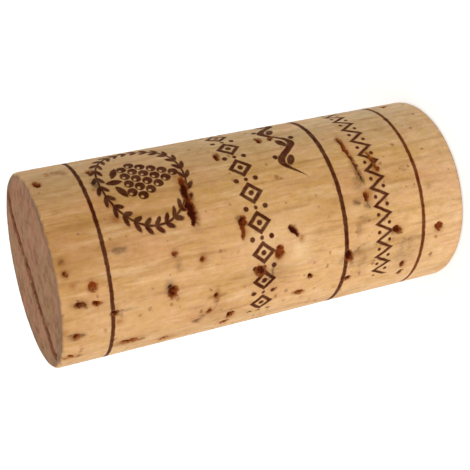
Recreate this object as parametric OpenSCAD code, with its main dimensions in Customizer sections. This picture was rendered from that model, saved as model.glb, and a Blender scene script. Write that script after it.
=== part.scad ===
// Natural cork stopper for a wine bottle, punched from bark in one piece.
// It stands on its foot: +Z runs up its axis, and the origin is the centre of the foot.
// Angles round the axis are counted from the front, which faces -Y, and grow towards +X.

/* [Blank] */
// Diameter of the loose cork, before a neck squeezes it
cork_d = 24; // [20:0.5:30]
// Length of the cork from end to end
cork_l = 53.5; // [50:0.5:60]
// Radius of the worn rim round each end face
rim_r = 0.5; // [0.2:0.1:1.2]

/* [Burnt rings] */
// Distance from the top face to the middle of the top ring
top_ring_gap = 6; // [3:0.5:12]
// Height of the middle ring above the foot
middle_ring_h = 17.2; // [12:0.1:30]
// Height of the foot ring above the foot
foot_ring_h = 6.1; // [3:0.1:10]
// Width of each line
ring_w = 0.5; // [0.3:0.1:1]
// Depth that the hot die pressed into the bark
ring_depth = 0.1; // [0.05:0.05:0.3]

/* [Lenticels] */
// Way that the bark's pores run through the cork: they come out round here
lenticel_angle = -66; // [-90:1:0]
// Depth of the shallowest pore
pore_depth_min = 0.3; // [0.2:0.1:0.5]
// Depth of the deepest pore
pore_depth_max = 0.9; // [0.6:0.1:1.5]
// Depth of a split at its ends
split_depth = 0.4; // [0.2:0.1:0.8]
// Depth of the cracks in the end faces
end_crack_depth = 0.3; // [0.2:0.1:1]

/* [Back] */
// Number of pores on the side that the lists below leave free
back_pores = 36; // [0:1:60]
// Narrowest of those pores
back_pore_min = 0.4; // [0.3:0.1:0.6]
// Widest of those pores
back_pore_max = 1.2; // [0.8:0.1:1.6]
// Greatest length of a pore there, as a multiple of its width
back_stretch = 4; // [1:0.5:6]
// Seed of the pattern there
back_seed = 11; // [1:1:99]

/* [Hidden] */
$fn = 64;
cork_r = cork_d / 2;
bark = "burlywood";
burnt = "saddlebrown";
pore_brown = "sienna";

// Pores: height, angle, length, width, and the turn of the length away from the axis
pores = [
    [52.4, 53, 1.4, 0.8, 80],
    [52.4, -5, 1, 0.6, 90],
    [49.6, -14.5, 1.6, 0.9, 75],
    [51.3, -23.5, 1.5, 0.8, -10],
    [49.1, -25, 1.2, 0.5, -15],
    [51.9, -44, 1.2, 1, 90],
    [52.4, -62, 1.3, 0.6, -60],
    [47.3, -34, 1.2, 0.7, 20],
    [45.2, -61, 3, 1.1, 5],
    [40.6, -70, 1.3, 1, 60],
    [40.1, -29.5, 2.1, 1.4, 85],
    [39.4, -7.5, 0.8, 0.6, 40],
    [36.1, -13, 1, 0.6, 60],
    [34.6, -38.5, 1.2, 0.8, 45],
    [35.4, -49.5, 0.8, 0.5, 70],
    [32.4, -58, 1.5, 0.7, 75],
    [32.8, -67, 1, 0.8, 45],
    [30.5, 47, 2.1, 0.6, 80],
    [28.9, -28.5, 2, 1.4, 30],
    [26.4, -19.5, 1.9, 1.1, 80],
    [24, -10, 2, 0.9, -55],
    [24, 56, 1.2, 0.7, 85],
    [22.5, 55.5, 1, 0.4, 60],
    [22.1, -40.5, 0.7, 0.6, 0],
    [23.3, -52.5, 1.8, 0.7, -15],
    [16.8, -33, 1.7, 1, -70],
    [13.8, 2, 1.5, 0.6, 85],
    [10, -23, 1.6, 0.8, -50],
    [8.4, -50, 1.6, 0.6, 100],
    [8.1, -58, 0.9, 0.6, -65],
    [16.5, -50.5, 0.8, 0.5, 20],
    [45.9, 56, 0.8, 0.4, 80],
    [26.7, -44.5, 0.8, 0.4, -50],
    [3.8, -27, 1.3, 1, 50],
    [3.8, 73.5, 1.4, 0.8, 80],
];

// Splits of the side: height and angle of each end, and the greatest width
splits = [
    [36, 40, 36.4, 5.5, 0.9],
    [30.3, 6, 30.9, -9, 0.7],
    [14.5, 47, 13.8, 11, 0.5],
    [11.6, 30, 11.2, 13, 0.5],
];

// Cracks in the end faces, from above: points along each one
top_crack = [
    [-10.7, -2.7], [-9.3, -1.5], [-6, 0], [-3, 1.2], [0, 2.3], [4, 4], [6.5, 5.2], [8.5, 5.4], [10.2, 4.4]
];
top_crack_w = 1.2;
foot_crack = [[-8, -7.5], [-4.5, -5.6], [-1, -4.3], [2.5, -3], [5.5, -1.2]];
foot_crack_w = 1;

// Side that the lists above leave free
back_from = 82;
back_to = 285;
// Pores keep this far from the rims there
back_margin = 2;

// Corners of a pore's outline, and of one long edge of a split
pore_corners = 9;
split_corners = 8;
// Points over which a crack in an end face comes to its full width
taper_points = 4;
// Least and greatest share of its width that a ragged edge keeps
ragged_min = 0.8;
ragged_max = 1.2;
// Share of its mouth that the floor of a pore keeps
floor_share = 0.5;
// Every cut starts this far outside the bark
proud = 1;

function between(a, b, t) = a + (b - a) * t;

// Oval with a ragged edge, longest along X
function ragged_oval(length, width, seed) =
    let (rough = rands(ragged_min, ragged_max, pore_corners, seed))
    [for (i = [0 : pore_corners - 1])
        let (turn = 360 * i / pore_corners)
        rough[i] / 2 * [length * cos(turn), width * sin(turn)]];

// Band along X that tapers to both ends, with two ragged edges
function ragged_band(length, width, seed) =
    let (rough = rands(ragged_min, ragged_max, 2 * split_corners, seed))
    [for (i = [0 : 2 * split_corners - 1])
        let (turn = 180 * (i + 0.5) / split_corners)
        [length / 2 * cos(turn), rough[i] * width / 2 * sin(turn)]];

// Line with its corners cut once for each pass, so that it bends smoothly
function rounded(points, passes) =
    passes == 0 ? points :
    rounded(
        concat(
            [points[0]],
            [for (i = [0 : len(points) - 2]) each [
                between(points[i], points[i + 1], 0.25),
                between(points[i], points[i + 1], 0.75)
            ]],
            [points[len(points) - 1]]
        ),
        passes - 1
    );

// Share of its width that a band has at point i: it tapers to both ends
function taper(i, last) = min(1, min(i, last - i) / taper_points);

// Band along a bent line, pointed at both ends, with two ragged edges
function ragged_line(points, width, seed) =
    let (
        line = rounded(points, 2),
        last = len(line) - 1,
        rough = rands(ragged_min, ragged_max, 2 * len(line), seed)
    )
    concat(
        [for (i = [0 : last]) line[i] - [0, rough[i] * width / 2 * taper(i, last)]],
        [for (i = [last - 1 : -1 : 1]) line[i] + [0, rough[last + i] * width / 2 * taper(i, last)]]
    );

// Puts its children on the side: X runs up the cork, Y back round it, and Z points out of the bark
module on_side(height, angle, turn) {
    rotate([0, 0, angle - 90])
        translate([cork_r, 0, height])
            rotate([0, -90, 180])
                rotate([0, 0, turn])
                    children();
}

// A pit that narrows to its floor
module pore(height, angle, length, width, turn, seed) {
    depth = rands(pore_depth_min, pore_depth_max, 1, seed)[0];
    mouth_share = 1 + (1 - floor_share) * proud / depth;
    on_side(height, angle, turn)
        translate([0, 0, -depth])
            linear_extrude(height = depth + proud, scale = mouth_share / floor_share)
                scale(floor_share) polygon(ragged_oval(length, width, seed));
}

// A split follows its chord, so it is deepest in the middle
module split(height_a, angle_a, height_b, angle_b, width, seed) {
    half = abs(angle_b - angle_a) / 2;
    chord = 2 * cork_r * sin(half);
    bulge = cork_r * (1 - cos(half));
    rise = height_b - height_a;
    across = angle_b > angle_a ? chord : -chord;
    on_side((height_a + height_b) / 2, (angle_a + angle_b) / 2, atan2(across, -rise))
        translate([0, 0, -bulge - split_depth])
            linear_extrude(height = bulge + split_depth + proud)
                polygon(ragged_band(norm([chord, rise]), width, seed));
}

// Pores on the back are round where the bark's pores come out, and long where they lie along the side
module back_pattern() {
    heights = rands(back_margin, cork_l - back_margin, back_pores, back_seed);
    angles = rands(back_from, back_to, back_pores, back_seed + 1);
    widths = rands(back_pore_min, back_pore_max, back_pores, back_seed + 2);
    turns = rands(70, 110, back_pores, back_seed + 3);
    for (i = [0 : 1 : back_pores - 1]) {
        stretch = between(1, back_stretch, pow(sin(angles[i] - lenticel_angle), 2));
        width = between(widths[i], back_pore_min, (stretch - 1) / back_stretch);
        pore(heights[i], angles[i], widths[i] * stretch, width, turns[i], i);
    }
}

// Crack along a pore that an end face lays open
module end_crack(points, width, seed) {
    linear_extrude(height = end_crack_depth + proud) polygon(ragged_line(points, width, seed));
}

// Straight cylinder with a worn rim at both ends
module blank() {
    rotate_extrude() {
        square([cork_r - rim_r, cork_l]);
        translate([0, rim_r]) square([cork_r, cork_l - 2 * rim_r]);
        for (height = [rim_r, cork_l - rim_r])
            translate([cork_r - rim_r, height]) circle(r = rim_r);
    }
}

// Line pressed round the side by the hot die
module ring_mark(height) {
    translate([0, 0, height - ring_w / 2])
        difference() {
            cylinder(r = cork_r + proud, h = ring_w);
            translate([0, 0, -proud]) cylinder(r = cork_r - ring_depth, h = ring_w + 2 * proud);
        }
}

module stopper() {
    difference() {
        color(bark) blank();
        color(burnt)
            for (height = [foot_ring_h, middle_ring_h, cork_l - top_ring_gap])
                ring_mark(height);
        color(pore_brown) {
            for (i = [0 : len(pores) - 1])
                let (p = pores[i]) pore(p[0], p[1], p[2], p[3], p[4], i);
            for (i = [0 : len(splits) - 1])
                let (s = splits[i]) split(s[0], s[1], s[2], s[3], s[4], i);
            back_pattern();
            translate([0, 0, cork_l - end_crack_depth]) end_crack(top_crack, top_crack_w, 1);
            translate([0, 0, -proud]) end_crack(foot_crack, foot_crack_w, 2);
        }
    }
}

stopper();
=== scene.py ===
"""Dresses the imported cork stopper: bark relief, pores, growth bands and print, with a studio stage.

Lengths are in millimetres until a mesh or a lamp is finished, and angles are in degrees.
The cork's arc is measured round the side from its front, which faces -Y, towards +X.
"""

import functools
import math

import bmesh
import bpy
from bpy.props import FloatProperty, FloatVectorProperty, IntProperty, PointerProperty
from mathutils import Matrix, Vector, noise
from mathutils.bvhtree import BVHTree


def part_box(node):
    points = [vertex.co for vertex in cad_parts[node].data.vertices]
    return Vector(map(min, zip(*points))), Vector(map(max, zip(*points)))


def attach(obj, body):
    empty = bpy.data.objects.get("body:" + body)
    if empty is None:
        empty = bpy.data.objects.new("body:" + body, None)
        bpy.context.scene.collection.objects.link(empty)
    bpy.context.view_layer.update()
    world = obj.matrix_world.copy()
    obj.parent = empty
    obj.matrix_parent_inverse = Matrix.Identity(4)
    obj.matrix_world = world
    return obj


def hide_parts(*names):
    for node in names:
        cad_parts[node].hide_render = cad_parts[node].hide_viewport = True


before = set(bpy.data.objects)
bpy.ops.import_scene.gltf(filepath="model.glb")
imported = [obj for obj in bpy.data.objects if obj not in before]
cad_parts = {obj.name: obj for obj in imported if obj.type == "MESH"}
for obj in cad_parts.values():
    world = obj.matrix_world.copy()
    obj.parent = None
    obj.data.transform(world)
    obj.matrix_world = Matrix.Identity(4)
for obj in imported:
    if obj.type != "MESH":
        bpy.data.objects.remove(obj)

bl_info = {
    "name": "Cork Stopper",
    "version": (1, 0, 0),
    "blender": (4, 5, 0),
    "location": "View3D > Sidebar > Cork",
    "description": "Builds a natural cork stopper with pores, growth bands and a printed border",
    "category": "Add Mesh",
}

NODE = "stopper"
BODY = "root"
MM = 0.001

FOOT_CORNER, TOP_CORNER = (Vector(corner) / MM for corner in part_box(NODE))
CORK_R = (TOP_CORNER.x - FOOT_CORNER.x) / 2
CORK_L = TOP_CORNER.z - FOOT_CORNER.z
ROUND = 2 * math.pi * CORK_R

# Height of each ring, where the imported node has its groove, and how far its ink spread each way
RINGS = ((6.1, 0.0), (17.2, 0.05), (47.5, 0.0))
# Way that the bark's pores run through the cork, as an angle from +X: growth rings stand across it
PORE_RUN = 24

# Faint marks of the bark: height, arc, half length along the cork, half width round it,
# and how rusty and how smoky the mark is
MARKS = [
    (52.5, 0.2, 0.4, 0.4, 0.7, 0.4),
    (52.4, -1.1, 0.5, 0.6, 0.4, 0.7),
    (52.4, 11.2, 0.7, 0.6, 0.7, 0),
    (49.3, 13.0, 0.7, 0.5, 0.4, 0.7),
    (48.7, 12.4, 0.35, 0.5, 0.3, 0.8),
    (45.9, 8.8, 0.5, 1.1, 0, 0.8),
    (45.9, 11.7, 0.4, 0.6, 0.2, 0.6),
    (49.6, -3.0, 0.6, 0.8, 0.9, 0),
    (51.2, -4.9, 1.0, 0.5, 0.2, 1),
    (50.7, -5.1, 0.45, 0.4, 0.2, 1),
    (49.1, -5.3, 0.8, 0.3, 0.7, 0.3),
    (51.9, -9.2, 0.8, 0.6, 0.3, 1),
    (53.1, -8.4, 0.3, 0.5, 0.8, 0.3),
    (51.8, -2.6, 0.35, 0.35, 0.8, 0.2),
    (47.3, -7.1, 0.5, 0.6, 0.2, 0.7),
    (46.0, -6.9, 1.1, 0.18, 0.1, 0.9),
    (46.8, -8.4, 0.45, 0.4, 0.9, 0.1),
    (53.0, -13.2, 0.5, 0.5, 0.9, 0.2),
    (52.4, -13.0, 0.6, 0.5, 0.8, 0),
    (51.5, -13.2, 0.4, 0.5, 0.7, 0.3),
    (45.3, -12.8, 1.8, 0.7, 0.7, 0.6),
    (43.9, -13.0, 0.6, 0.4, 0.7, 0.7),
    (46.0, 0.2, 1.2, 0.4, 0, 0.5),
    (39.4, -1.6, 0.5, 0.5, 0.4, 0.5),
    (39.2, -3.1, 0.4, 0.5, 0.2, 0.7),
    (40.0, -6.6, 0.9, 0.8, 0.5, 0),
    (40.5, -5.3, 0.6, 0.8, 0, 1),
    (36.1, -2.8, 0.55, 0.6, 0.9, 0.3),
    (35.5, -10.4, 0.6, 0.4, 0.6, 0.1),
    (36.4, -9.2, 0.5, 0.3, 0.5, 0),
    (36.3, -10.9, 0.5, 0.3, 0.2, 0.8),
    (36.7, -11.7, 0.6, 0.4, 0.3, 0.8),
    (37.2, -9.2, 0.7, 0.3, 0.3, 0.5),
    (34.6, -8.1, 1.0, 0.3, 0.9, 0.8),
    (34.6, -8.1, 0.4, 0.9, 0.9, 0.8),
    (34.6, -8.1, 0.4, 0.4, 0.6, 0.6),
    (34.5, -11.0, 3.0, 1.6, 0.1, 0.25),
    (36.4, 7.2, 0.6, 1.4, 0.7, 0.1),
    (36.2, 5.0, 0.6, 1.2, 0.5, 0.7),
    (36.1, 2.6, 0.5, 1.5, 0.6, 0.6),
    (45.1, 5.7, 0.7, 0.6, 0.8, 0.3),
    (45.3, 3.9, 0.5, 0.5, 0.9, 0.5),
    (40.5, -14.4, 0.9, 0.8, 0.9, 0),
    (32.3, -12.4, 0.5, 0.8, 0.7, 0.1),
    (32.9, -14.0, 0.6, 0.5, 0.6, 0.1),
    (30.8, 0.8, 0.4, 0.5, 0.1, 0.8),
    (30.5, -0.8, 0.6, 1.0, 0.6, 0.1),
    (28.9, -6.0, 0.9, 0.7, 0, 1),
    (27.5, -7.0, 2.2, 1.6, 0.1, 0.3),
    (26.4, -4.4, 0.7, 1.0, 0.9, 0),
    (24.3, -1.7, 0.5, 0.5, 0, 0.8),
    (23.3, -3.0, 0.4, 0.6, 0.8, 0),
    (22.1, -8.5, 0.4, 0.4, 0.3, 0.4),
    (23.4, -11.0, 0.7, 0.5, 0.9, 0),
    (16.8, -6.9, 0.5, 0.6, 0, 1),
    (14.6, -7.8, 0.3, 0.25, 0.9, 0),
    (16.3, -8.0, 0.4, 0.5, 0.2, 0.7),
    (17.9, -7.4, 0.35, 0.4, 0.2, 0.6),
    (18.2, -11.7, 0.4, 0.4, 0.5, 0),
    (15.6, -6.6, 1.0, 0.8, 0.2, 0.6),
    (15.0, -7.4, 1.6, 1.8, 0, 0.4),
    (14.2, 6.5, 0.4, 3.2, 0.6, 0),
    (14.37, 8.4, 0.4, 0.55, 0.4, 1),
    (14.0, 4.3, 0.35, 1.5, 0.3, 1),
    (13.8, 2.7, 0.3, 0.9, 0.2, 1),
    (14.4, 2.0, 0.7, 0.8, 0.2, 0.5),
    (11.6, 3.8, 0.65, 1.8, 1, 0),
    (10.0, -4.8, 0.9, 0.6, 0.4, 0.5),
    (13.6, 0.4, 0.8, 1.0, 0.9, 0),
    (13.8, -0.7, 0.5, 0.5, 0.2, 0.6),
    (15.1, -0.1, 0.6, 0.5, 0.1, 0.5),
    (14.6, -2.4, 0.9, 0.3, 0.1, 0.6),
    (15.4, -3.6, 0.3, 0.9, 0.1, 0.6),
    (8.6, -6.6, 1.6, 0.3, 0, 0.6),
    (9.1, -8.0, 0.35, 1.2, 0, 0.7),
    (6.8, -6.6, 0.9, 0.3, 0.1, 0.5),
    (8.6, -8.6, 2.4, 2.4, 0, 0.4),
    (8.5, -10.3, 0.5, 0.7, 0.7, 0),
    (3.8, -5.8, 0.7, 0.6, 1, 0),
    (4.9, 0.0, 0.4, 0.4, 0.3, 0.3),
    (7.7, 2.6, 0.3, 0.3, 0.3, 0.3),
]
# Pale marks: height, arc, half length, half width and how pale the mark is; the broad one at 27.6 mm is
# a painted highlight
PALE_MARKS_AND_HIGHLIGHT = [
    (47.5, -9.5, 6.0, 4.5, 0.25),
    (23.7, -4.4, 1.5, 1.3, 0.9),
    # Painted highlight: a broad pale patch on the front of the side
    (27.6, -2.4, 3.4, 3.0, 0.55),
]

# Where a split or a pore is closed: height, arc, half length along the cork, half width round it
CLOSED = [
    (14.1, 6.0, 1.0, 5.2),
    (11.4, 4.5, 0.9, 3.2),
    (30.5, -1.2, 0.9, 1.3),
    (36.3, 6.7, 1.3, 2.7),
    (23.6, -3.0, 0.9, 0.9),
    (52.4, -1.0, 0.9, 0.7),
    (52.4, -13.0, 0.6, 0.8),
    (48.8, -5.2, 0.35, 0.5),
    (35.8, -2.7, 0.3, 0.6),
    (3.8, -6.3, 0.6, 0.45),
    (34.6, -8.1, 0.8, 0.6),
]


def rgba(colour):
    """sRGB hex text as linear colour with alpha."""
    channels = (int(colour[i:i + 2], 16) / 255 for i in (1, 3, 5))
    linear = [c / 12.92 if c <= 0.04045 else ((c + 0.055) / 1.055) ** 2.4 for c in channels]
    return (*linear, 1.0)


def add(tree, kind, *inputs, output=0, **settings):
    """Adds a node, sets it up, links or sets its inputs in order and gives an output."""
    node = tree.nodes.new("ShaderNode" + kind)
    for name, value in settings.items():
        setattr(node, name, value)
    for socket, value in zip(node.inputs, inputs):
        if isinstance(value, bpy.types.NodeSocket):
            tree.links.new(value, socket)
        elif value is not None:
            socket.default_value = value
    return node.outputs[output] if node.outputs else None


# What all lengths and all colours of the settings share
LENGTH = {"precision": 5, "unit": "LENGTH"}
COLOUR = {"min": 0, "max": 1, "size": 4, "subtype": "COLOR"}


class CorkShape(bpy.types.PropertyGroup):
    """Sizes of the cork's mesh."""

    rim: FloatProperty(
        name="Rim", description="Radius of the worn rim round each end",
        default=0.5 * MM, min=0.1 * MM, max=2 * MM, **LENGTH)
    spacing: FloatProperty(
        name="Spacing", description="Distance between neighbouring points of the side",
        default=0.32 * MM, min=0.2 * MM, max=2 * MM, **LENGTH)
    end_spacing: FloatProperty(
        name="End spacing", description="Distance between the rings of points on the ends",
        default=0.45 * MM, min=0.2 * MM, max=2 * MM, **LENGTH)
    pore_cuts: IntProperty(
        name="Pore cuts", description="Cuts across each edge at a pore", default=2, min=0, max=4)
    ragged: FloatProperty(
        name="Ragged", description="How far the edge of a pore wanders",
        default=0.26 * MM, min=0, max=1 * MM, **LENGTH)
    relief: FloatProperty(
        name="Relief", description="Depth of the bark's own roughness",
        default=0.06 * MM, min=0, max=0.5 * MM, **LENGTH)


class CorkColours(bpy.types.PropertyGroup):
    """Colours of the bark and of the ink."""

    peach: FloatVectorProperty(
        name="Peach", description="Bark towards the inner side", default=rgba("#efbf87"), **COLOUR)
    tan: FloatVectorProperty(
        name="Tan", description="Bark towards the outer side", default=rgba("#daaa62"), **COLOUR)
    pale: FloatVectorProperty(
        name="Pale", description="Palest streaks of the bark", default=rgba("#f6ce9b"), **COLOUR)
    # Golden band's colour, and painted shade that darkens the side towards the top
    golden_band_and_top_shade: FloatVectorProperty(
        name="Tired", description="Stain, deeper towards the top", default=rgba("#b08b4d"), **COLOUR)
    # Painted sheen: greyer, paler bark on the side facing +X
    sheen_plus_x: FloatVectorProperty(
        name="Weathered", description="Greyer, outer bark", default=rgba("#cfbd9f"), **COLOUR)
    # Painted light: paler bark near the foot, and painted sheen on the side facing -X
    foot_light_and_sheen: FloatVectorProperty(
        name="Rubbed", description="Pale, rubbed bark near the foot", default=rgba("#f7d2a6"), **COLOUR)
    blush: FloatVectorProperty(
        name="Blush", description="Pinkish patches of the bark", default=rgba("#e6a87c"), **COLOUR)
    cloud: FloatVectorProperty(
        name="Cloud", description="Brownish clouds of the bark", default=rgba("#b88650"), **COLOUR)
    line: FloatVectorProperty(
        name="Line", description="Dark edge of a growth ring", default=rgba("#a5743c"), **COLOUR)
    speck: FloatVectorProperty(
        name="Speck", description="Small woody speck", default=rgba("#8a5a34"), **COLOUR)
    rust: FloatVectorProperty(
        name="Rust", description="Stain round a pore", default=rgba("#a25f26"), **COLOUR)
    smoke: FloatVectorProperty(
        name="Smoke", description="Grey-brown smudge", default=rgba("#674a2c"), **COLOUR)
    lining: FloatVectorProperty(
        name="Lining", description="Wall of a pore", default=rgba("#853b10"), **COLOUR)
    # Depth: a pore's dark filling, laid on more thickly the deeper the pore, as painted shade
    depth: FloatVectorProperty(
        name="Depth", description="Floor of a deep pore", default=rgba("#3c0e02"), **COLOUR)
    end_light: FloatVectorProperty(
        name="Light end", description="End face, pale streak", default=rgba("#ba8c6d"), **COLOUR)
    end_green: FloatVectorProperty(
        name="Green end", description="End face, greenish patch", default=rgba("#a38a58"), **COLOUR)
    end_dark: FloatVectorProperty(
        name="Dark end", description="End face, dark streak", default=rgba("#a07354"), **COLOUR)
    end_red: FloatVectorProperty(
        name="Red end", description="End face, reddish patch", default=rgba("#ba7a64"), **COLOUR)
    end_brown: FloatVectorProperty(
        name="Brown end", description="End face, brown blotch", default=rgba("#7c573c"), **COLOUR)
    # Painted shade: a grey-brown band along the rim of each end face
    end_rim_shade: FloatVectorProperty(
        name="End rim", description="Grubby rim of an end face", default=rgba("#7a6654"), **COLOUR)
    end_lining: FloatVectorProperty(
        name="Crack", description="Wall of a crack in an end", default=rgba("#8b583c"), **COLOUR)
    # Crack floor: dark filling, laid on more thickly the deeper the crack, as painted shade
    end_depth: FloatVectorProperty(
        name="Crack floor", description="Floor of a crack in an end", default=rgba("#6a4029"), **COLOUR)
    ink: FloatVectorProperty(
        name="Ink", description="Stain of the brown printing ink", default=rgba("#5c2b18"), **COLOUR)
    faded_ink: FloatVectorProperty(
        name="Faded ink", description="Worn ink near the foot", default=rgba("#7a4420"), **COLOUR)


class PrintLayout(bpy.types.PropertyGroup):
    """Places and sizes of the ornaments: a place is a height up the cork or an arc round it."""

    stroke: FloatProperty(
        name="Stroke", description="Width of the thin strokes",
        default=0.5 * MM, min=0.1 * MM, max=2 * MM, **LENGTH)
    ring_width: FloatProperty(
        name="Ring width", description="Width of the printed rings",
        default=0.5 * MM, min=0.1 * MM, max=2 * MM, **LENGTH)
    emblem_arc: FloatProperty(
        name="Emblem arc", description="Arc of the middle of the first emblem",
        default=8.8 * MM, **LENGTH)
    emblem_height: FloatProperty(
        name="Emblem height", description="Height of the middle of the emblems",
        default=40.5 * MM, min=0, **LENGTH)
    lozenge_start: FloatProperty(
        name="Lozenge start", description="Arc where the lozenge band starts",
        default=-13 * MM, **LENGTH)
    lozenge_height: FloatProperty(
        name="Lozenge height", description="Height of the middle of the lozenge band",
        default=28.4 * MM, min=0, **LENGTH)
    vine_arc: FloatProperty(
        name="Vine arc", description="Arc of the middle of the first vine",
        default=11.6 * MM, **LENGTH)
    vine_height: FloatProperty(
        name="Vine height", description="Height of the middle of the vines",
        default=21.7 * MM, min=0, **LENGTH)
    zigzag_start: FloatProperty(
        name="Zigzag start", description="Arc where the zigzag band starts",
        default=-11.5 * MM, **LENGTH)
    zigzag_height: FloatProperty(
        name="Zigzag height", description="Height of the middle of the zigzag band",
        default=11.8 * MM, min=0, **LENGTH)


class StageLight(bpy.types.PropertyGroup):
    """Light of the stage."""

    key: FloatProperty(
        name="Key lamp", description="Power of the lamp in front of the cork",
        default=2.4, min=0, unit="POWER")
    back: FloatProperty(
        name="Back lamp", description="Power of the lamp behind the cork",
        default=1.0, min=0, unit="POWER")
    room: FloatProperty(
        name="Room", description="Share of full white that the room sheds on the cork",
        default=0.7, min=0, max=1, subtype="FACTOR")


# What the mesh notes at each of its points: depth, soft depth, share of an end face, and marks, whose
# paleness holds a painted highlight too
NOTES = ("pit", "mouth", "end", "rust", "smoke", "pale")
# Steps of the worn rim's quarter turn
RIM_STEPS = 3
# Points nearer to each other than this are one
SAME_PLACE = 1e-4
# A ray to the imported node's skin starts this far outside the blank, and goes this deep into it
START_OUTSIDE = 1.0
DEEPEST = 3.0
# The printed rings' grooves are shallower than this, and the material draws them
FLAT_ENOUGH = 0.12
# The mesh is finer round what is deeper than this
FINE_FROM = 0.15
# A point belongs to an end face from this share on
END_FROM = 0.9
# A crack in an end face is worn wider by this much on each side
CRACK_SPREAD = 0.2
# Pores look black past this depth, so their visible floors stop here; the material paints the rest of
# that darkness as shade
DEEPEST_SHOWN = 0.5
# Share of a neighbour's depth that a pore's mouth gets each time that it grows by a ring of points
MOUTH_SHARES = (0.85, 0.5)
# Times that the depth is averaged with its neighbours, so that the stain at a pore's mouth is soft
MOUTH_BLUR = 6
# Times that the pores' floors and walls are smoothed, and how far each time
SMOOTHINGS, SMOOTHING = 2, 0.5
# The wander of a pore's edge starts from this seed, so it is the same each time
NOISE_SEED = 1
# Waves per mm: wander of a pore's edge, unevenness of its floor, and the bark's roughness and swell
WANDER_WAVES = 1.6
FLOOR_WAVES = 3.5
ROUGH_WAVES = 2.2
SWELL_WAVES = 0.35
# Octaves of the wander, and the fractal's dimension, lacunarity and octaves of the roughness
WANDER_OCTAVES = 4
ROUGH_FRACTAL = (0.8, 2.1, 3)
# The swell has this share of its waves along the cork, so it is drawn out that way
SWELL_ALONG = 0.12
# Share of the relief that is roughness, on top of the swell
ROUGH_SHARE = 0.8
# Share of its depth that a floor keeps on average, and how much that varies
FLOOR_MEAN = 0.85
FLOOR_SPREAD = 0.3


def blank_outline(rim, spacing, end_spacing):
    """Half section of the blank: a line from the middle of the foot to the middle of the top."""
    section = bmesh.new()
    lines = []

    def extend(point, step):
        grown = bmesh.ops.extrude_vert_indiv(section, verts=[point])
        lines.append(grown["edges"][0])
        bmesh.ops.translate(section, verts=grown["verts"], vec=step)
        return grown["verts"][0]

    def turn_rim(point, centre):
        arc = bmesh.ops.spin(
            section, geom=[point], cent=centre, axis=(0, -1, 0), angle=math.pi / 2, steps=RIM_STEPS)
        return next(v for v in arc["geom_last"] if isinstance(v, bmesh.types.BMVert))

    point = section.verts.new((0, 0, 0))
    point = extend(point, (CORK_R - rim, 0, 0))
    point = turn_rim(point, (CORK_R - rim, 0, rim))
    point = extend(point, (0, 0, CORK_L - 2 * rim))
    point = turn_rim(point, (CORK_R - rim, 0, CORK_L - rim))
    extend(point, (rim - CORK_R, 0, 0))
    for line in lines:
        upright = abs(line.verts[0].co.z - line.verts[1].co.z) > rim
        pitch = spacing if upright else end_spacing
        bmesh.ops.subdivide_edges(section, edges=[line], cuts=round(line.calc_length() / pitch) - 1)
    return section


def way_out(point, rim):
    """Direction straight out of the blank's skin at a point, and how much the point is on an end."""
    middle = CORK_L / 2
    reach = math.hypot(point.x, point.y)
    height = abs(point.z - middle)
    over_side = max(0.0, reach - (CORK_R - rim))
    over_end = max(0.0, height - (middle - rim))
    up = math.copysign(1.0, point.z - middle)
    if over_side <= 0 or reach == 0:
        return Vector((0, 0, up)), 1.0
    across = Vector((point.x / reach, point.y / reach, 0))
    if over_end <= 0:
        return across, 0.0
    out = across * over_side + Vector((0, 0, up * over_end))
    return out.normalized(), over_end / (over_side + over_end)


def cad_skin():
    """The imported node's own skin, in millimetres, for measuring how deep its pores go."""
    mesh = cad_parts[NODE].data
    corners = [v.co / MM for v in mesh.vertices]
    return BVHTree.FromPolygons(corners, [tuple(face.vertices) for face in mesh.polygons])


def pore_depth(skin, point, out):
    """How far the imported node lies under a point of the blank's skin, in mm."""
    hit = skin.ray_cast(point + out * START_OUTSIDE, -out, START_OUTSIDE + DEEPEST)
    if hit[0] is None:
        return 0.0
    depth = hit[3] - START_OUTSIDE
    return depth if depth > FLAT_ENOUGH else 0.0


def arc_at(point):
    """Arc round the side at which a point lies, in mm."""
    return (math.atan2(point.y, point.x) + math.pi / 2) * CORK_R


def marks_at(point):
    """How rusty, smoky and pale the side of the bark is at a point, where the paleness holds a painted
    highlight too.
    """
    arc = arc_at(point)

    def felt(height, place, tall, wide):
        return math.exp(-((point.z - height) / tall) ** 2 - ((arc - place) / wide) ** 2)

    rust, smoke = 0.0, 0.0
    for *spot, red, grey in MARKS:
        here = felt(*spot)
        rust, smoke = max(rust, here * red), max(smoke, here * grey)
    return rust, smoke, max(felt(*spot) * light for *spot, light in PALE_MARKS_AND_HIGHLIGHT)


def is_closed(point):
    """Whether a point of the side lies where a split or a pore is closed."""
    arc = arc_at(point)
    return any(
        abs(point.z - height) < tall and abs(arc - place) < wide
        for height, place, tall, wide in CLOSED)


def neighbours(v):
    """Points that an edge joins to a point."""
    return [edge.other_vert(v) for edge in v.link_edges]


def cut_finer(cork, skin, rim, cuts):
    """Cuts the faces round each pore, split and crack into smaller ones."""
    deep = set()
    for v in cork.verts:
        out, _ = way_out(v.co, rim)
        if pore_depth(skin, v.co, out) > FINE_FROM:
            deep.add(v)
    near = {other for v in deep for face in v.link_faces for other in face.verts}
    fine = {edge for v in near for face in v.link_faces for edge in face.edges}
    cork.edges.index_update()
    in_order = sorted(fine, key=lambda edge: edge.index)
    bmesh.ops.subdivide_edges(cork, edges=in_order, cuts=cuts, use_grid_fill=True)


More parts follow.
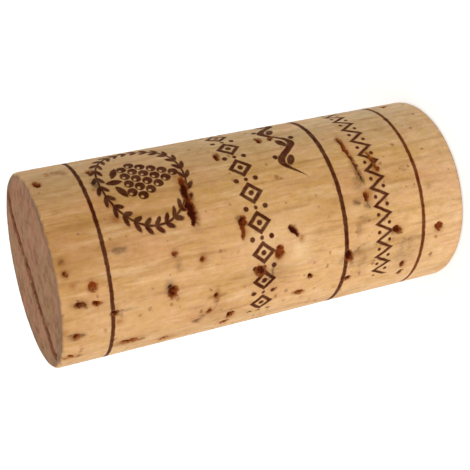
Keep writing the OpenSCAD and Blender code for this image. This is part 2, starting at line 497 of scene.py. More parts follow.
def measure(cork, skin, rim, ragged):
    """Notes at each point how deep the node lies there, how much of an end it is, and its marks."""
    pit, end, rust, smoke, pale = (
        cork.verts.layers.float[name] for name in ("pit", "end", "rust", "smoke", "pale"))
    for v in cork.verts:
        point = v.co
        out, share = way_out(point, rim)
        wander = noise.turbulence_vector(point * WANDER_WAVES, WANDER_OCTAVES, False) * ragged
        wander -= out * wander.dot(out)
        # A point that would wander over the rim stays where it is
        if way_out(point + wander, rim)[1] != share:
            wander = Vector()
        point = point + wander
        spread = (-CRACK_SPREAD, 0, CRACK_SPREAD) if share > END_FROM else (0,)
        v[pit] = max(pore_depth(skin, point + Vector((0, shift, 0)), out) for shift in spread)
        v[end] = share
        if share < END_FROM:
            v[rust], v[smoke], v[pale] = marks_at(v.co)


def open_mouths(cork):
    """Grows the pores' mouths by what the wander took, shuts closed ones, and gives their points."""
    pit = cork.verts.layers.float["pit"]
    worn = [v for v in cork.verts if v[pit] > 0 or any(other[pit] > 0 for other in neighbours(v))]
    shut = [v for v in worn if is_closed(v.co)]
    narrow = [min(other[pit] for other in neighbours(v)) for v in shut]
    for v, depth in zip(shut, narrow):
        v[pit] = min(v[pit], depth)
    mouths = [v for v in worn if not is_closed(v.co)]
    for share in MOUTH_SHARES:
        grown = [max(v[pit], share * max(other[pit] for other in neighbours(v))) for v in mouths]
        for v, depth in zip(mouths, grown):
            v[pit] = depth
    return worn


def sink(cork, rim, relief, worn):
    """Presses the blank down to the floors of its pores, under a skin that is rough and swells."""
    pit, mouth = (cork.verts.layers.float[name] for name in ("pit", "mouth"))
    for v in cork.verts:
        point = v.co.copy()
        out, _ = way_out(point, rim)
        rough = 0.5 + 0.5 * noise.fractal(point * ROUGH_WAVES, *ROUGH_FRACTAL)
        long_way = Vector((point.x, point.y, point.z * SWELL_ALONG))
        swell = 0.5 + 0.5 * noise.noise(long_way * SWELL_WAVES)
        v[mouth] = min(v[pit], DEEPEST_SHOWN)
        sunk = v[mouth] * (FLOOR_MEAN + FLOOR_SPREAD * noise.noise(point * FLOOR_WAVES))
        sunk += relief * (ROUGH_SHARE * max(0.0, rough) + swell)
        v.co = point - out * sunk
    for _ in range(SMOOTHINGS):
        bmesh.ops.smooth_vert(
            cork, verts=worn, factor=SMOOTHING, use_axis_x=True, use_axis_y=True, use_axis_z=True)
    for _ in range(MOUTH_BLUR):
        blurred = [
            (v[mouth] + sum(other[mouth] for other in neighbours(v)) / len(v.link_edges)) / 2
            for v in cork.verts]
        for v, depth in zip(cork.verts, blurred):
            v[mouth] = depth


def cork_mesh(shape):
    """Blank spun from its half section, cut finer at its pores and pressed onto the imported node."""
    sizes = (shape.rim, shape.spacing, shape.end_spacing, shape.ragged, shape.relief)
    rim, spacing, end_spacing, ragged, relief = (size / MM for size in sizes)
    skin = cad_skin()
    cork = blank_outline(rim, spacing, end_spacing)
    bmesh.ops.spin(
        cork, geom=cork.verts[:] + cork.edges[:], cent=(0, 0, 0), axis=(0, 0, 1),
        angle=2 * math.pi, steps=round(ROUND / spacing), use_merge=True)
    bmesh.ops.remove_doubles(cork, verts=cork.verts, dist=SAME_PLACE)
    cut_finer(cork, skin, rim, shape.pore_cuts)
    for name in NOTES:
        cork.verts.layers.float.new(name)
    noise.seed_set(NOISE_SEED)
    measure(cork, skin, rim, ragged)
    sink(cork, rim, relief, open_mouths(cork))
    bmesh.ops.scale(cork, verts=cork.verts, vec=(MM, MM, MM))
    bmesh.ops.recalc_face_normals(cork, faces=cork.faces)
    return cork


# WRAP nodes leave alone an axis that has this much room
NO_WRAP = 99
# Middle of a noise's range
HALF = (0.5, 0.5, 0.5)


def gap(node, value, other):
    """How far apart two values are."""
    return node("Math", node("Math", value, other, operation="SUBTRACT"), operation="ABSOLUTE")


def nearest(node, *shapes):
    """Distance to whichever shape is the nearest."""
    return functools.reduce(lambda one, other: node("Math", one, other, operation="MINIMUM"), shapes)


def disc(node, spot, middle, radius):
    """Distance in mm to a disc."""
    reach = node("VectorMath", spot, middle, output=1, operation="DISTANCE")
    return node("Math", reach, radius, operation="SUBTRACT")


def drifted(node, spot, reach, space, scale, detail, rough):
    """Spot moved about by a noise over a space: reach is how far along each axis, in mm."""
    drift = node("TexNoise", space, None, scale, detail, rough, output=1)
    drift = node("VectorMath", drift, HALF, operation="SUBTRACT")
    return node("VectorMath", drift, reach, spot, operation="MULTIPLY_ADD")


def unevenness(node, space, scale, detail, rough):
    """Noise that swings round zero: scale is in waves per mm."""
    noisy = node("TexNoise", space, None, scale, detail, rough)
    return node("Math", noisy, 0.5, operation="SUBTRACT")


def repeated(node, spot, period):
    """Spot in mm from the middle of the nearest copy: they stand a period apart round the cork."""
    half = period / 2
    return node("VectorMath", spot, (half, NO_WRAP, 1), (-half, -NO_WRAP, -1), operation="WRAP")


def lozenge_band(node, spot, layout):
    """Distance in mm to a chain of open lozenges with a dot in each and studs between them."""
    pitch, half_w, half_h = 3.7, 1.5, 1.6
    dot_r, link_r, stud_r, stud_height = 0.36, 0.26, 0.34, 1.25
    stroke = layout.stroke / MM
    start = (layout.lozenge_start / MM, layout.lozenge_height / MM, 0)
    from_start = node("VectorMath", spot, start, operation="SUBTRACT")
    centred = node("VectorMath", from_start, (pitch / 2, 0, 0), operation="SUBTRACT")
    folded = node("VectorMath", repeated(node, centred, pitch), operation="ABSOLUTE")
    shares = (1 / half_w, 1 / half_h, 0)
    reach = node("VectorMath", folded, shares, output=1, operation="DOT_PRODUCT")
    slope = half_w * half_h / math.hypot(half_w, half_h)
    side = gap(node, reach, 1 - stroke / 2 / slope)
    lozenges = node("Math", side, slope, -stroke / 2, operation="MULTIPLY_ADD")
    dot = disc(node, folded, (0, 0, 0), dot_r)
    link = disc(node, folded, (pitch / 2, 0, 0), link_r)
    stud = disc(node, folded, (pitch / 2, stud_height, 0), stud_r)
    shapes = nearest(node, lozenges, dot, link, stud)
    before = node("Math", node("SeparateXYZ", from_start), -1, operation="MULTIPLY")
    return node("Math", shapes, before, operation="MAXIMUM")


def zigzag_band(node, spot, layout):
    """Distance in mm to a zigzag line with a dot in each of its bays."""
    half, rise, dot_r = 1.15, 0.95, 0.26
    dot_height = 0.75 * rise
    # This line is finer than the other strokes
    fineness = 0.84
    stroke = fineness * layout.stroke / MM
    start = (layout.zigzag_start / MM, layout.zigzag_height / MM, 0)
    from_start = node("VectorMath", spot, start, operation="SUBTRACT")
    along, up = node("SeparateXYZ", from_start), node("SeparateXYZ", from_start, output=1)
    ramp = node("Math", along, half, operation="PINGPONG")
    line = node("Math", ramp, 2 * rise / half, -rise, operation="MULTIPLY_ADD")
    off = gap(node, up, line)
    lean = half / math.hypot(half, 2 * rise)
    zigzag = node("Math", off, lean, -stroke / 2, operation="MULTIPLY_ADD")
    folded = node("CombineXYZ", ramp, up)
    high = disc(node, folded, (0, dot_height, 0), dot_r)
    low = disc(node, folded, (half, -dot_height, 0), dot_r)
    before = node("Math", along, -1, operation="MULTIPLY")
    return node("Math", nearest(node, zigzag, high, low), before, operation="MAXIMUM")


def leaf_shape(node, bay, middle, lean, half_length, half_width):
    """Distance in mm to an oval leaf: lean is its turn in degrees."""
    turn = (0, 0, math.radians(lean))
    unit = node("Mapping", bay, middle, turn, (half_length, half_width, 1), vector_type="TEXTURE")
    reach = node("VectorMath", unit, output=1, operation="LENGTH")
    return node("Math", reach, half_width, -half_width, operation="MULTIPLY_ADD")


def tendril(node, spot, layout):
    """Distance in mm to a wavy vine, drawn on two sides of the cork: each bend has a leaf and a bud."""
    wave, rise = 6.2, 1.25
    # Half width of the stem at its bends, and how much that swells and thins between them
    stem_half, stem_swell = 0.36, 0.12
    # Mean share of the upright distance to the stem that is the true one
    stem_slant = 0.75
    # Where the vine has thinned out to nothing, and how long its tips are
    tip, tip_length = 8.2, 2.2
    # Leaves and buds keep to this part of the vine
    leafy_middle, leafy_half = 0.35, 6.65
    leaf_middle, leaf_lean, leaf_half, leaf_half_w = (wave / 4 + 0.1, 0.05, 0), -32, 0.9, 0.46
    bud_middle, bud_r = (wave / 4 + 0.9, rise + 0.55, 0), 0.36
    middle = (layout.vine_arc / MM, layout.vine_height / MM, 0)
    from_middle = node("VectorMath", spot, middle, operation="SUBTRACT")
    local = repeated(node, from_middle, ROUND / 2)
    along, up = node("SeparateXYZ", local), node("SeparateXYZ", local, output=1)
    phase = node("Math", along, 2 * math.pi / wave, operation="MULTIPLY")
    bend = node("Math", phase, operation="SINE")
    line = node("Math", bend, rise, operation="MULTIPLY")
    off = gap(node, up, line)
    # The stem thins where it climbs and swells where it falls
    climb = node("Math", phase, operation="COSINE")
    brush = node("Math", climb, stem_swell, -stem_half, operation="MULTIPLY_ADD")
    outward = node("Math", along, operation="ABSOLUTE")
    thin = node("MapRange", outward, tip - tip_length, tip, 0, 0.5)
    brush = node("Math", brush, thin, operation="ADD")
    stem = node("Math", off, stem_slant, brush, operation="MULTIPLY_ADD")
    flipped = node("Math", up, node("Math", bend, operation="SIGN"), operation="MULTIPLY")
    cell = node("Math", along, wave / 2, 0, operation="WRAP")
    bay = node("CombineXYZ", cell, flipped)
    leaf = leaf_shape(node, bay, leaf_middle, leaf_lean, leaf_half, leaf_half_w)
    bud = disc(node, bay, bud_middle, bud_r)
    leafy = node("Math", gap(node, along, leafy_middle), leafy_half, operation="SUBTRACT")
    leaves = node("Math", nearest(node, leaf, bud), leafy, operation="MAXIMUM")
    return nearest(node, stem, leaves)


def grape_bunch(node, local):
    """Distance in mm to a bunch of round grapes with a glint on each and three leaves over them."""
    rows = (4, 5, 4, 3, 2, 1)
    grape_r, grape_gap, row_gap, top_row = 0.62, 1.32, 1.14, 1.75
    glint_r, glint_x, glint_y = 0.17, -0.2, 0.22
    # A leaf is where two discs meet: their radius, how far each is off, and the leaves' x, y and lean
    leaf_r, leaf_bow = 1.5, 1.05
    leaf_places = ((0, 3.35, 0), (1.6, 2.9, 62))
    middles, glints = [], []
    for row, count in enumerate(rows):
        for place in range(count):
            x, y = (place - (count - 1) / 2) * grape_gap, top_row - row * row_gap
            middle, glint = (x, y, 0), (x + glint_x, y + glint_y, 0)
            middles.append(node("VectorMath", local, middle, output=1, operation="DISTANCE"))
            glints.append(node("VectorMath", local, glint, output=1, operation="DISTANCE"))
    bunch = node("Math", nearest(node, *middles), grape_r, operation="SUBTRACT")
    bare = node("Math", glint_r, nearest(node, *glints), operation="SUBTRACT")
    shapes = node("Math", bunch, bare, operation="MAXIMUM")
    sideways = node("Math", node("SeparateXYZ", local), operation="ABSOLUTE")
    mirrored = node("CombineXYZ", sideways, node("SeparateXYZ", local, output=1))
    for x, y, lean in leaf_places:
        bow = Vector((math.cos(math.radians(lean)), math.sin(math.radians(lean)), 0)) * leaf_bow
        middle = Vector((x, y, 0))
        left, right = (disc(node, mirrored, place, leaf_r) for place in (middle - bow, middle + bow))
        shapes = nearest(node, shapes, node("Math", left, right, operation="MAXIMUM"))
    return shapes


def wreath(node, local):
    """Distance in mm to an oval wreath: a twig with pairs of leaves all along it."""
    half_w, half_h, leaves, twig_r = 6.7, 5.1, 26, 0.16
    leaf_middle, leaf_lean, leaf_half, leaf_half_w = (0, 0.42, 0), 38, 0.72, 0.31
    mean_r = (half_w + half_h) / 2
    ring_length = 2 * math.pi * mean_r
    pitch = ring_length / leaves
    oval = node("VectorMath", local, (1 / half_w, 1 / half_h, 1), operation="MULTIPLY")
    reach = node("VectorMath", oval, output=1, operation="LENGTH")
    beside = node("Math", reach, mean_r, -mean_r, operation="MULTIPLY_ADD")
    beside = node("Math", beside, operation="ABSOLUTE")
    along, up = node("SeparateXYZ", oval), node("SeparateXYZ", oval, output=1)
    turn = node("Math", up, along, operation="ARCTAN2")
    walk = node("Math", turn, mean_r, operation="MULTIPLY")
    cell = node("Math", walk, pitch / 2, -pitch / 2, operation="WRAP")
    bay = node("CombineXYZ", cell, beside)
    leaf = leaf_shape(node, bay, leaf_middle, leaf_lean, leaf_half, leaf_half_w)
    return nearest(node, leaf, node("Math", beside, twig_r, operation="SUBTRACT"))


def emblem(node, spot, layout):
    """Distance in mm to a bunch of grapes in a wreath of leaves, drawn on two sides of the cork."""
    middle = (layout.emblem_arc / MM, layout.emblem_height / MM, 0)
    from_middle = node("VectorMath", spot, middle, operation="SUBTRACT")
    local = repeated(node, from_middle, ROUND / 2)
    return nearest(node, grape_bunch(node, local), wreath(node, local))


def rings(node, spot, layout):
    """Distance in mm to the three rings that run round the cork."""
    height = node("SeparateXYZ", spot, output=1)
    half = layout.ring_width / MM / 2
    return nearest(node, *(
        node("Math", gap(node, height, ring), half + spread, operation="SUBTRACT")
        for ring, spread in RINGS))


# Heights between which the ink, faded near the foot, gets back its full depth
FADED = (6.5, 9.5)
# The ink runs this far along the bark's fibres, and fades over about this much at its edge
BLEED = 0.22
INK_EDGE = (-0.09, 0.08)


def print_cover(node, p, layout):
    """How much ink lies on the bark: soft at its edges, and thin where the bark took it badly."""
    x, y, height = (node("SeparateXYZ", p, output=i) for i in range(3))
    turn = node("Math", y, x, operation="ARCTAN2")
    arc = node("Math", turn, CORK_R, CORK_R * math.pi / 2, operation="MULTIPLY_ADD")
    spot = drifted(node, node("CombineXYZ", arc, height), (BLEED, BLEED, 0), p, 1.3, 3, 0.6)
    ornaments = (rings, lozenge_band, zigzag_band, tendril, emblem)
    shapes = nearest(node, *(ornament(node, spot, layout) for ornament in ornaments))
    cover = node("MapRange", shapes, *INK_EDGE, 1, 0, interpolation_type="SMOOTHSTEP")
    take = node("TexNoise", p, None, 0.9, 4, 0.7)
    take = node("MapRange", take, 0.36, 0.62, 1, 0.9)
    return node("Math", cover, take, operation="MULTIPLY")


# Height of the bump, in mm
BUMP_HEIGHT = 0.12
# Strength of the bump, and how specks and ink dent it
BUMP_STRENGTH, SPECK_DENT, INK_DENT = 0.45, -0.2, -0.7
# Distance between growth rings in mm, where they start, and where in a season its dark edge is
SEASON, SEASON_START, SEASON_EDGE = 2.7, 0.41, 0.88
# Golden band: its place across the growth rings in radii, and the height at which it fades
BAND_ACROSS, WAIST = -0.28, 29
# The red and brown blotches of an end face are its green ones' noise, moved this far
OTHER_BLOTCHES = (31, 17, 0)


def coated(node, colour, *coats):
    """Lays coats over a colour: each is how much of it shows, its colour and, if not MIX, its blend."""
    for amount, coat, *blend in coats:
        colour = node("Mix", amount, None, None, None, None, None, colour, coat, output=2,
                      data_type="RGBA", blend_type=blend[0] if blend else "MIX")
    return colour


def patches(node, space, scale, low, high, most, stretch=None, detail=3, rough=0.6):
    """Noise between low and high as a share up to most: scale is in waves per mm."""
    if stretch:
        space = node("Mapping", space, None, None, stretch)
    cloud = node("TexNoise", space, None, scale, detail, rough)
    return node("MapRange", cloud, low, high, 0, most)


def dots(node, space, per_mm, share, size, crowd, soft):
    """Ragged dots, drawn out along the pores' run: how much of one is here, and its own chance."""
    space = drifted(node, space, (0.6, 0.6, 0.6), space, 1.7, 3, 0.65)
    space = node("Mapping", space, None, None, (1, 0.55, 0.9))
    reach = node("TexVoronoi", space, None, per_mm)
    own = node("SeparateColor", reach.node.outputs["Color"])
    radius = node("Math", own, crowd, operation="ADD")
    radius = node("MapRange", radius, 1 - share, 1.3, 0, size)
    inside = node("Math", radius, reach, operation="SUBTRACT")
    dot = node("MapRange", inside, 0, soft, 0, 1, interpolation_type="SMOOTHSTEP")
    return dot, own.node.outputs["Green"]


def grain_space(node, p):
    """Place in mm with X across the growth rings and Y along the pores' run, and with wavy rings."""
    grain = node("Mapping", p, None, (0, 0, math.radians(-PORE_RUN)))
    slow = node("Mapping", grain, None, None, (1, 1, 0.3))
    return drifted(node, grain, (2.2, 0, 0), slow, 0.16, 3, 0.55)


def bark_tone_and_painted_light(node, p, grain, colours):
    """Bark's colour, peach to tan with a golden band, and painted light: shade that browns it towards
    the top, sheen that greys and pales the sides facing +X and -X, and light that pales the foot.
    """
    across = node("SeparateXYZ", grain)
    height = node("SeparateXYZ", p, output=2)
    stretched = node("Mapping", grain, None, None, (0.5, 0.4, 0.14))
    patch = node("TexNoise", stretched, None, 1, 4, 0.55)
    outer = node("MapRange", across, -CORK_R, CORK_R, -0.25, 0.3)
    patch = node("MapRange", node("Math", patch, outer, operation="ADD"), 0.3, 0.75, 0, 1)
    # Painted shade: the side darkens and turns olive towards the top
    top_shade = node("MapRange", height, 3, CORK_L, 0, 0.46)
    # A golden band between two growth rings fades round the middle of the cork
    band = gap(node, across, BAND_ACROSS * CORK_R)
    band = node("MapRange", band, 0.1 * CORK_R, 0.32 * CORK_R, 0.2, 0)
    waist = node("MapRange", gap(node, height, WAIST), 4, 12, 0, 1)
    band = node("Math", band, waist, operation="MULTIPLY")
    # Painted sheen: the side facing +X turns greyer and paler, most near the foot
    most = node("MapRange", height, 4, 44, 0.85, 0.5)
    sheen_plus_x = node("MapRange", across, 0.05 * CORK_R, 0.8 * CORK_R, 0, most)
    # Painted light: paler near the foot, and painted sheen on the side facing -X
    foot_light = node("MapRange", height, 0, 7, 0.45, 0)
    sheen_minus_x = node("MapRange", node("SeparateXYZ", p), -0.8 * CORK_R, -CORK_R, 0, 0.5)
    foot_light_and_sheen = node("Math", foot_light, sheen_minus_x, operation="MAXIMUM")
    return coated(
        node, colours.peach,
        (patch, colours.tan),
        (top_shade, colours.golden_band_and_top_shade, "MULTIPLY"),
        (band, colours.golden_band_and_top_shade, "MULTIPLY"),
        (sheen_plus_x, colours.sheen_plus_x),
        (foot_light_and_sheen, colours.foot_light_and_sheen))


def grained_bark(node, p, grain, bark, colours):
    """Growth rings, each darkening slowly to a soft brown line, with streaks and clouds in between."""
    across = node("SeparateXYZ", grain)
    season = node("Math", across, 1 / SEASON, SEASON_START, operation="MULTIPLY_ADD")
    season = node("Math", season, operation="FRACT")
    slow = node("Math", season, 2, operation="POWER")
    slow_part = patches(node, grain, 1, 0.35, 0.62, 0.24, (0.4, 0.3, 0.08))
    slow = node("Math", slow, slow_part, operation="MULTIPLY")
    edge = gap(node, season, SEASON_EDGE)
    edge = node("MapRange", edge, 0, 0.1, 1, 0, interpolation_type="SMOOTHSTEP")
    edge_part = patches(node, grain, 1, 0.42, 0.62, 0.4, (0.6, 0.4, 0.16))
    edge = node("Math", edge, edge_part, operation="MULTIPLY")
    # Streaks are about 1 mm across and 6 to 10 mm long, and clouds are up to 3 mm
    return coated(
        node, bark,
        (slow, colours.line),
        (edge, colours.line),
        (patches(node, grain, 1, 0.5, 0.75, 0.34, (1.7, 0.9, 0.16)), colours.line),
        (patches(node, grain, 1, 0.58, 0.66, 0.3, (2.2, 1.1, 0.1)), colours.line),
        (patches(node, grain, 1, 0.5, 0.75, 0.6, (1, 0.5, 0.12)), colours.pale),
        (patches(node, p, 1, 0.48, 0.68, 0.3, (0.3, 0.3, 0.2)), colours.blush),
        (patches(node, grain, 1, 0.54, 0.74, 0.42, (0.8, 0.6, 0.45), 5, 0.7), colours.cloud))


def cell_shade(node, p):
    """Light and dark of the cells: the darker ones are warmer, so blue varies the most."""
    cells = node("TexNoise", node("Mapping", p, None, None, (1, 1, 0.6)), None, 1.3, 5, 0.72)
    red, green, blue = (
        node("MapRange", cells, 0.3, 0.7, low, high)
        for low, high in ((0.9, 1.09), (0.86, 1.12), (0.77, 1.18)))
    warmth = node("TexNoise", p, None, 1.5, 4, 0.6)
    warmth = node("MapRange", warmth, 0.3, 0.7, 1.14, 0.86)
    return node("CombineColor", red, green, node("Math", blue, warmth, operation="MULTIPLY"))


def speckled_bark(node, p, grain, bark, colours):
    """Small woody specks and rusty blots, most where the pores come out: the bark, and its specks."""
    across = node("Math", node("SeparateXYZ", grain), operation="ABSOLUTE")
    open_side = node("MapRange", across, 0.6 * CORK_R, CORK_R, 0, 0.3)
    crowd = patches(node, p, 0.12, 0.38, 0.6, 0.4, detail=2)
    crowd = node("Math", crowd, open_side, operation="ADD")
    specks, _ = dots(node, grain, 0.9, 0.6, 0.28, crowd, 0.13)
    blots, chance = dots(node, grain, 0.55, 0.4, 0.24, crowd, 0.16)
    blotted = patches(node, p, 1.4, 0.35, 0.55, 0.8, detail=4)
    blots = node("Math", blots, blotted, operation="MULTIPLY")
    bark = coated(
        node, bark,
        (node("Math", specks, 0.58, operation="MULTIPLY"), colours.speck),
        (blots, coated(node, colours.rust, (chance, colours.speck))))
    return bark, specks


def end_bark(node, p, grain, shade, colours):
    """End face: cut across the growth rings, so streaky, and blotched in green, red and brown, with
    painted shade along its rim.
    """
    streak = patches(node, grain, 1, 0.3, 0.7, 1, (0.9, 0.16, 0.9), 5)
    moved = node("VectorMath", p, OTHER_BLOTCHES, operation="ADD")
    flat = node("VectorMath", p, (1, 1, 0), operation="MULTIPLY")
    reach = node("VectorMath", flat, output=1, operation="LENGTH")
    # Painted shade: a grey-brown band along the end face's rim, in patches
    rim = node("MapRange", reach, CORK_R - 1.9, CORK_R - 0.4, 0, 0.65)
    rim = node("Math", rim, patches(node, moved, 0.5, 0.35, 0.6, 1), operation="MULTIPLY")
    return coated(
        node, colours.end_light,
        (streak, colours.end_dark),
        (patches(node, p, 0.33, 0.46, 0.58, 0.34), colours.end_green),
        (patches(node, moved, 0.33, 0.5, 0.62, 0.5), colours.end_red),
        (patches(node, moved, 0.7, 0.5, 0.66, 0.6, detail=4), colours.end_brown),
        (1, shade, "MULTIPLY"),
        (rim, colours.end_rim_shade))


def smudged_bark(node, p, bark, notes, patchy, colours):
    """Pale, smoky and rusty marks, one pale one a painted highlight: the thickest smoke is charred, and
    has soft hairlines round it.
    """
    pale, smoke, rust = (
        node("Math", notes[name], patchy, operation="MULTIPLY") for name in ("pale", "smoke", "rust"))
    char = node("MapRange", notes["smoke"], 0.7, 0.92, 0, 0.9)
    curl = gap(node, node("TexNoise", p, None, 0.2, 2, 0.5), 0.5)
    curl = node("MapRange", curl, 0, 0.04, 1, 0, interpolation_type="SMOOTHSTEP")
    hair = node("MapRange", notes["smoke"], 0.06, 0.25, 0, 0.7)
    hair = node("Math", curl, hair, operation="MULTIPLY")
    hair = node("Math", hair, patchy, operation="MULTIPLY")
    return coated(
        node, bark,
        (pale, colours.pale),
        (smoke, colours.smoke),
        (rust, colours.rust),
        (char, colours.depth),
        (hair, colours.smoke))


def pored_bark(node, p, bark, notes, patchy, colours):
    """Pores: a rusty stain round the mouth, then a red-brown wall, and a dark filling laid on more
    thickly towards the floor as painted shade of the pore's depth.
    """
    on_end = node("MapRange", notes["end"], 0.4, 0.6, 0, 1)
    # A crack in an end face comes and goes more than a pore does
    broken = node("TexNoise", p, None, 0.35, 3, 0.6)
    broken_side = node("MapRange", broken, 0.36, 0.6, 0.85, 1.15)
    broken_end = node("MapRange", broken, 0.38, 0.6, 0.6, 1.9)
    broken = node("Mix", on_end, None, broken_side, broken_end)
    mouth = node("Math", notes["mouth"], broken, operation="MULTIPLY")
    ragged = node("Math", unevenness(node, p, 2, 5, 0.75), mouth, operation="ADD")
    near = node("MapRange", mouth, 0.01, 0.06)
    stain = node("MapRange", ragged, -0.02, 0.14, 0, 0.65)
    stain = node("Math", stain, near, operation="MULTIPLY")
    stain = node("Math", stain, patchy, operation="MULTIPLY")
    wall = node("MapRange", ragged, 0.09, 0.27, 0, 0.96)
    wall = node("Math", wall, near, operation="MULTIPLY")
    # Painted shade: the floor's dark colour grows with the pore's depth, over its own dark filling
    dark = node("Math", unevenness(node, p, 0.9, 3, 0.6), 1.3, mouth, operation="MULTIPLY_ADD")
    # Smoky marks blacken a pore's floor, and rusty ones keep it red
    dark = node("Math", notes["smoke"], 0.24, dark, operation="MULTIPLY_ADD")
    dark = node("Math", notes["rust"], -0.2, dark, operation="MULTIPLY_ADD")
    floor = node("Math", node("MapRange", dark, 0.24, 0.5), wall, operation="MULTIPLY")
    return coated(
        node, bark,
        (stain, coated(node, colours.rust, (on_end, colours.end_lining))),
        (wall, coated(node, colours.lining, (on_end, colours.end_lining))),
        (floor, coated(node, colours.depth, (on_end, colours.end_depth))))


def node_maker(holder):
    """Empties the nodes of a material or a world, and gives the function that adds one there."""
    holder.use_nodes = True
    holder.node_tree.nodes.clear()
    return functools.partial(add, holder.node_tree)


def cork_material(colours, layout):
    """Natural cork, cut from bark and sanded: matt, peach to tan, with red-brown pores."""
    material = bpy.data.materials.new("natural_cork")
    node = node_maker(material)
    place = node("TexCoord", output=3)
    p = node("VectorMath", place, None, None, 1 / MM, operation="SCALE")
    grain = grain_space(node, p)
    notes = {name: node("Attribute", output=2, attribute_name=name) for name in NOTES}
    patchy = node("TexNoise", p, None, 1.8, 4, 0.7)
    patchy = node("MapRange", patchy, 0.3, 0.6, 0.35, 1)

    # Side: its tone with painted shade, sheen and light, then growth rings, cells and specks
    bark = bark_tone_and_painted_light(node, p, grain, colours)
    bark = grained_bark(node, p, grain, bark, colours)
    shade = cell_shade(node, p)
    bark = coated(node, bark, (1, shade, "MULTIPLY"))
    bark, specks = speckled_bark(node, p, grain, bark, colours)

    # Ends: they meet the side in an uneven line along the rim
    uneven = unevenness(node, p, 0.9, 4, 0.7)
    end_part = node("Math", uneven, 0.9, notes["end"], operation="MULTIPLY_ADD")
    end_part = node("MapRange", end_part, 0.4, 0.9)
    bark = coated(node, bark, (end_part, end_bark(node, p, grain, shade, colours)))

    # Marks, then ink, which darkens them and stays out of the pores, and then the pores
    bark = smudged_bark(node, p, bark, notes, patchy, colours)
    on_skin = node("MapRange", notes["pit"], FLAT_ENOUGH, 0.3, 1, 0.25)
    off_end = node("MapRange", notes["end"], 0.2, 0.5, 1, 0)
    ink = node("Math", print_cover(node, p, layout), on_skin, operation="MULTIPLY")
    ink = node("Math", ink, off_end, operation="MULTIPLY")
    faded = node("MapRange", node("SeparateXYZ", p, output=2), *FADED, 1, 0)
    brown = coated(node, colours.ink, (faded, colours.faded_ink))
    bark = coated(node, bark, (ink, brown, "MULTIPLY"))
    bark = pored_bark(node, p, bark, notes, patchy, colours)

    # Cork cells are about 0.04 mm, too fine to show, so the bump is drawn at about 0.2 mm
    bumps = node("TexNoise", p, None, 3.5, 3, 0.6)
    bumps = node("Math", specks, SPECK_DENT, bumps, operation="MULTIPLY_ADD")
    bumps = node("Math", ink, INK_DENT, bumps, operation="MULTIPLY_ADD")
    bump = node("Bump", BUMP_STRENGTH, BUMP_HEIGHT * MM, None, bumps)
    # Dry cork scatters nearly all light: rough, with hardly any gloss
    metallic, roughness, ior, alpha, specular = 0, 0.82, 1.5, 1, 0.06
    shader = node("BsdfPrincipled", bark, metallic, roughness, ior, alpha, bump)
    shader.node.inputs["Specular IOR Level"].default_value = specular
    node("OutputMaterial", shader)
    return material


WHITE = (1, 1, 1, 1)
# The paper's own shade, and the share of white that it adds for the camera
PAPER_SHADE = (0.8, 0.8, 0.8, 1)
PAPER_GLOW = 0.5


def seen(node):
    """1 for rays that the camera sees, straight on, in a gloss or through glass, and 0 for the rest."""
    straight = node("LightPath")
    rays = straight.node.outputs
    mirrored = node("Math", straight, rays["Is Glossy Ray"], operation="MAXIMUM")
    return node("Math", mirrored, rays["Is Transmission Ray"], operation="MAXIMUM")


def paper_material():
    """White paper under the cork: matt, and pure white where nothing shades it."""
    material = bpy.data.materials.new("white_paper")
    node = node_maker(material)
    glow = node("Math", seen(node), PAPER_GLOW, operation="MULTIPLY")
    glow = node("Emission", WHITE, glow)
    node("OutputMaterial", node("AddShader", node("BsdfDiffuse", PAPER_SHADE), glow))
    return material


def white_room(strength):
    """World that looks pure white and sheds light at a strength of its own."""
    world = bpy.data.worlds.new("studio")
    node = node_maker(world)
    strength = node("MapRange", seen(node), 0, 1, strength, 1)
    node("OutputWorld", node("Background", WHITE, strength))
    return world


# Sizes and places of the stage, in metres
FLOOR_HALF = 3
LAMP_SIZE = 0.4
KEY_PLACE = (-0.38, -0.45, 0.03)
BACK_PLACE = (0.45, 0.3, 0.03)
LAMP_AIM = (0, 0, 0.02)
CAMERA_PLACE = (0, -0.133778, 0.079746)
CAMERA_AIM = (-0.00097, 0, 0.02705)
# The camera is rolled over, so that the cork seems to lie on its side
CAMERA_ROLL = -102.42
# Focal length and width of the sensor, in millimetres
LENS = 85.91
SENSOR = 36
# The camera sees nothing nearer than this
NEAREST = 0.01


def aimed(scene, name, data, place, aim, roll=0):
    """Puts a lamp or a camera in its place, turned towards what it aims at."""
    holder = bpy.data.objects.new(name, data)
    way = (Vector(aim) - Vector(place)).to_track_quat("-Z", "Y").to_matrix().to_4x4()
    rolled = Matrix.Rotation(math.radians(roll), 4, "Z")
    holder.matrix_world = Matrix.Translation(place) @ way @ rolled
    scene.collection.objects.link(holder)
    return holder


class CORK_OT_stopper(bpy.types.Operator):
    """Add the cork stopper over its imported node"""

    bl_idname = "cork.stopper"
    bl_label = "Cork Stopper"

    def execute(self, context):
        scene = context.scene
        cork = cork_mesh(scene.cork_shape)
        mesh = bpy.data.meshes.new("cork")
        cork.to_mesh(mesh)
        cork.free()
        mesh.shade_smooth()
        piece = bpy.data.objects.new("cork", mesh)
        scene.collection.objects.link(piece)
        mesh.materials.append(cork_material(scene.cork_colours, scene.cork_print))
        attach(piece, BODY)
        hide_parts(NODE)
        return {"FINISHED"}


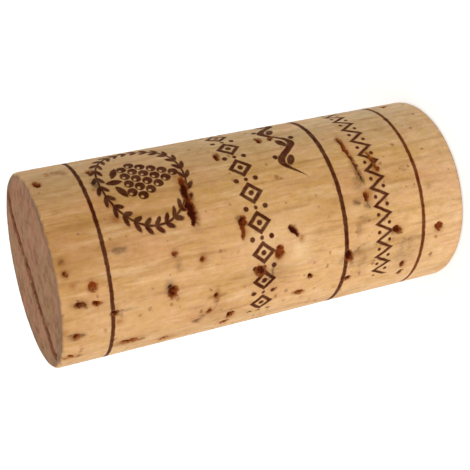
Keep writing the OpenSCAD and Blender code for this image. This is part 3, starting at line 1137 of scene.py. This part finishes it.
class CORK_OT_stage(bpy.types.Operator):
    """Add the floor, the lamps and the camera"""

    bl_idname = "cork.stage"
    bl_label = "Stage"

    def execute(self, context):
        scene = context.scene
        light = scene.cork_light
        scene.view_settings.view_transform = "Standard"
        floor_mesh = bmesh.new()
        bmesh.ops.create_grid(floor_mesh, x_segments=1, y_segments=1, size=FLOOR_HALF)
        mesh = bpy.data.meshes.new("floor")
        floor_mesh.to_mesh(mesh)
        floor_mesh.free()
        floor = bpy.data.objects.new("floor", mesh)
        scene.collection.objects.link(floor)
        mesh.materials.append(paper_material())
        scene.world = white_room(light.room)
        for name, place, watts in (("key", KEY_PLACE, light.key), ("back", BACK_PLACE, light.back)):
            lamp = bpy.data.lights.new(name, "AREA")
            lamp.size = LAMP_SIZE
            lamp.energy = watts
            aimed(scene, name, lamp, place, LAMP_AIM)
        camera = bpy.data.cameras.new("camera")
        camera.lens = LENS
        camera.sensor_width = SENSOR
        camera.clip_start = NEAREST
        scene.camera = aimed(scene, "camera", camera, CAMERA_PLACE, CAMERA_AIM, CAMERA_ROLL)
        return {"FINISHED"}


class CORK_PT_sidebar(bpy.types.Panel):
    """Lists the steps"""

    bl_idname = "CORK_PT_sidebar"
    bl_label = "Cork Stopper"
    bl_space_type = "VIEW_3D"
    bl_region_type = "UI"
    bl_category = "Cork"

    def draw(self, context):
        self.layout.operator(CORK_OT_stopper.bl_idname)
        self.layout.operator(CORK_OT_stage.bl_idname)


SETTINGS = {
    "cork_shape": CorkShape,
    "cork_colours": CorkColours,
    "cork_print": PrintLayout,
    "cork_light": StageLight,
}
CLASSES = (*SETTINGS.values(), CORK_OT_stopper, CORK_OT_stage, CORK_PT_sidebar)


def register():
    for cls in CLASSES:
        bpy.utils.register_class(cls)
    for name, group in SETTINGS.items():
        setattr(bpy.types.Scene, name, PointerProperty(type=group))


def unregister():
    for name in SETTINGS:
        delattr(bpy.types.Scene, name)
    for cls in reversed(CLASSES):
        bpy.utils.unregister_class(cls)


def main():
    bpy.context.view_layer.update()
    register()
    bpy.ops.cork.stopper()
    bpy.ops.cork.stage()


if __name__ == "__main__":
    main()
